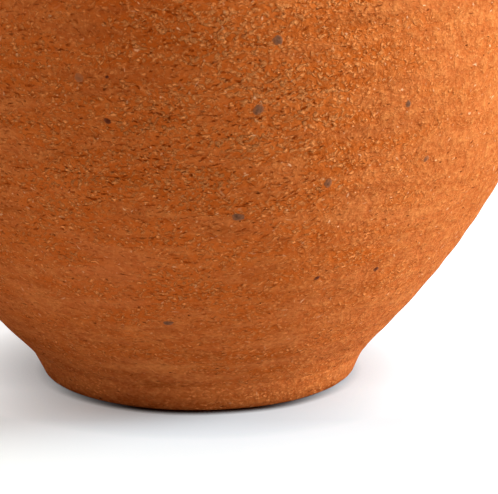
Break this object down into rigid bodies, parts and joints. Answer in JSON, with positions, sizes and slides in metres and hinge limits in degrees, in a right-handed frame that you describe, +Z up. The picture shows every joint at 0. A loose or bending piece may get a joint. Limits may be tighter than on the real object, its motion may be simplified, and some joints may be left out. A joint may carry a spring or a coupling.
{
  "type": "mexican olla",
  "caption": "Unglazed terracotta olla: a small ring foot under a flaring round belly, a short neck with rolled rim, strap handles and a knobbed lid that lifts out of the mouth.",
  "frame": {"origin": "on the table under the middle of the jar", "axes": "+Z up along the jar's axis, +X through the right handle, +Y away from the viewer of the picture"},
  "size_m": [0.2354, 0.2354, 0.3055],
  "materials": {
    "wall_clay": "unglazed, wiped coarse, matte",
    "foot_clay": "unglazed, turned and smoothed, matte",
    "handle_clay": "unglazed, finger-smoothed, matte",
    "lid_clay": "unglazed, wiped coarse, matte"
  },
  "bodies": {
    "pot": {"foot_ring": "foot_clay", "floor_disc": "wall_clay", "lower_wall": "wall_clay", "seam_coil": "wall_clay", "upper_wall": "wall_clay", "neck_collar": "wall_clay", "rim_roll": "wall_clay", "right_handle": "handle_clay", "right_handle_wads": "handle_clay", "left_handle": "handle_clay", "left_handle_wads": "handle_clay"},
    "lid": {"lid_dome": "lid_clay", "lid_flange": "lid_clay", "lid_knob": "lid_clay"}
  },
  "joints": [
    {"name": "lid_lift", "type": "slide", "parent": "pot", "child": "lid", "axis": [0, 0, 1], "range_m": [0, 0.15]}
  ]
}
